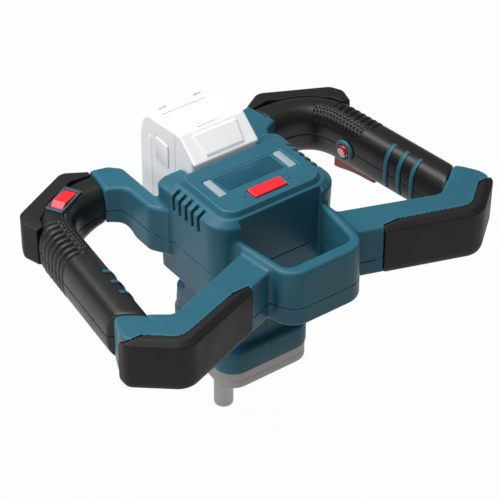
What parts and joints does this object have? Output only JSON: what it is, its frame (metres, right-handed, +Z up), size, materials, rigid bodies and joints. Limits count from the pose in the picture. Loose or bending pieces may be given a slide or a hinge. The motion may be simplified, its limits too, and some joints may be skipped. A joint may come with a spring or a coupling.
{
  "type": "cordless paddle mixer",
  "caption": "Cordless paddle mixer power head: ring of grips with trigger, front carry loop, control panel, slide-in battery, geared neck and threaded output spindle.",
  "frame": {"origin": "centre of the output spindle's mouth", "axes": "+Z up along the spindle into the tool, +X towards the right grip, -Y towards the carry loop, +Y towards the battery"},
  "size_m": [0.4408, 0.2969, 0.351],
  "materials": {
    "teal_shell": "satin moulded",
    "dark_shell": "satin moulded",
    "display_field": "smooth",
    "light_strip": "frosted",
    "lamp_lens": "clear",
    "red_button": "satin",
    "clear_red": "translucent",
    "slate_frame": "polished",
    "grip_black": "soft-touch overmould",
    "bumper_rubber": "matte",
    "seal_rubber": "matte",
    "frosted_pack": "frosted",
    "pack_button": "satin",
    "cell_sleeve": "shrink sleeve",
    "black_plastic": "moulded",
    "contact_brass": "plain",
    "bronze": "sintered",
    "cast_alloy": "as cast",
    "spindle_steel": "turned",
    "gear_steel": "ground",
    "screw_steel": "zinc plated",
    "motor_iron": "laminated",
    "board_green": "coated"
  },
  "bodies": {
    "power_head": {"upper_housing": "teal_shell", "lower_housing": "teal_shell", "control_panel": "teal_shell", "lock_collar": "teal_shell", "left_grip_bands": "teal_shell", "right_grip_bands": "teal_shell", "gear_neck": "dark_shell", "panel_plate": "display_field", "light_strips": "light_strip", "indicator_lenses": "lamp_lens", "rocker_frame": "slate_frame", "left_grip_upper": "grip_black", "left_grip_lower": "grip_black", "right_grip_upper": "grip_black", "right_grip_lower": "grip_black", "left_front_bumper": "bumper_rubber", "right_front_bumper": "bumper_rubber", "left_rear_bumper": "bumper_rubber", "right_rear_bumper": "bumper_rubber", "shaft_seal": "seal_rubber", "battery_socket": "black_plastic", "trigger_switch": "black_plastic", "socket_blades": "contact_brass", "middle_bushes": "bronze", "gearbox_case": "cast_alloy", "gearbox_cover": "cast_alloy", "motor_plate": "cast_alloy", "motor_cap": "cast_alloy", "spindle_bearings": "gear_steel", "motor_bearings": "gear_steel", "housing_screws": "screw_steel", "cover_screws": "screw_steel", "trigger_spring": "screw_steel", "stator": "motor_iron", "motor_can": "motor_iron", "panel_board": "board_green", "controller_board": "board_green"},
    "output_spindle": {"spindle": "spindle_steel", "output_wheel": "gear_steel"},
    "middle_gears": {"middle_shaft": "gear_steel", "middle_wheel": "gear_steel", "middle_pinion": "gear_steel"},
    "motor_rotor": {"motor_shaft": "gear_steel", "motor_pinion": "gear_steel", "rotor_core": "motor_iron", "cooling_fan": "black_plastic"},
    "battery_pack": {"battery_case": "frosted_pack", "battery_cover": "frosted_pack", "battery_cells": "cell_sleeve"},
    "left_release": {"left_latch": "pack_button"},
    "right_release": {"right_latch": "pack_button"},
    "mode_rocker": {"rocker": "red_button"},
    "trigger_key": {"trigger": "clear_red"},
    "lock_pin": {"lock_button": "clear_red"},
    "speed_button": {"panel_button": "red_button"}
  },
  "joints": [
    {"name": "spindle_spin", "type": "hinge", "parent": "power_head", "child": "output_spindle", "pos_m": [0, 0, 0.05], "axis": [0, 0, 1], "continuous": true},
    {"name": "middle_spin", "type": "hinge", "parent": "power_head", "child": "middle_gears", "pos_m": [0, -0.025, 0.14], "axis": [0, 0, 1], "continuous": true},
    {"name": "motor_spin", "type": "hinge", "parent": "power_head", "child": "motor_rotor", "pos_m": [0, -0.05, 0.22], "axis": [0, 0, 1], "continuous": true},
    {"name": "battery_slide", "type": "slide", "parent": "power_head", "child": "battery_pack", "axis": [0, 0, 1], "range_m": [0, 0.08]},
    {"name": "left_latch_press", "type": "slide", "parent": "battery_pack", "child": "left_release", "axis": [1, 0, 0], "range_m": [0, 0.0025], "stiffness_N_per_m": 600, "springref_m": -0.002},
    {"name": "right_latch_press", "type": "slide", "parent": "battery_pack", "child": "right_release", "axis": [-1, 0, 0], "range_m": [0, 0.0025], "stiffness_N_per_m": 600, "springref_m": -0.002},
    {"name": "rocker_tilt", "type": "hinge", "parent": "power_head", "child": "mode_rocker", "pos_m": [-0.1466, 0.0624, 0.2925], "axis": [-0.4695, 0.8829, 0], "range_deg": [-7, 7]},
    {"name": "trigger_press", "type": "slide", "parent": "power_head", "child": "trigger_key", "axis": [0, 0, 1], "range_m": [0, 0.007], "stiffness_N_per_m": 400, "springref_m": -0.004},
    {"name": "lock_press", "type": "slide", "parent": "power_head", "child": "lock_pin", "axis": [0.9923, 0.1236, 0], "range_m": [0, 0.004], "stiffness_N_per_m": 500, "springref_m": -0.002},
    {"name": "speed_press", "type": "slide", "parent": "power_head", "child": "speed_button", "axis": [0, 0, -1], "range_m": [0, 0.0012], "stiffness_N_per_m": 800, "springref_m": -0.001}
  ],
  "couplings": [
    {"joint": "middle_spin", "follows": "spindle_spin", "ratio": -2.3333},
    {"joint": "motor_spin", "follows": "spindle_spin", "ratio": 7.3889}
  ]
}
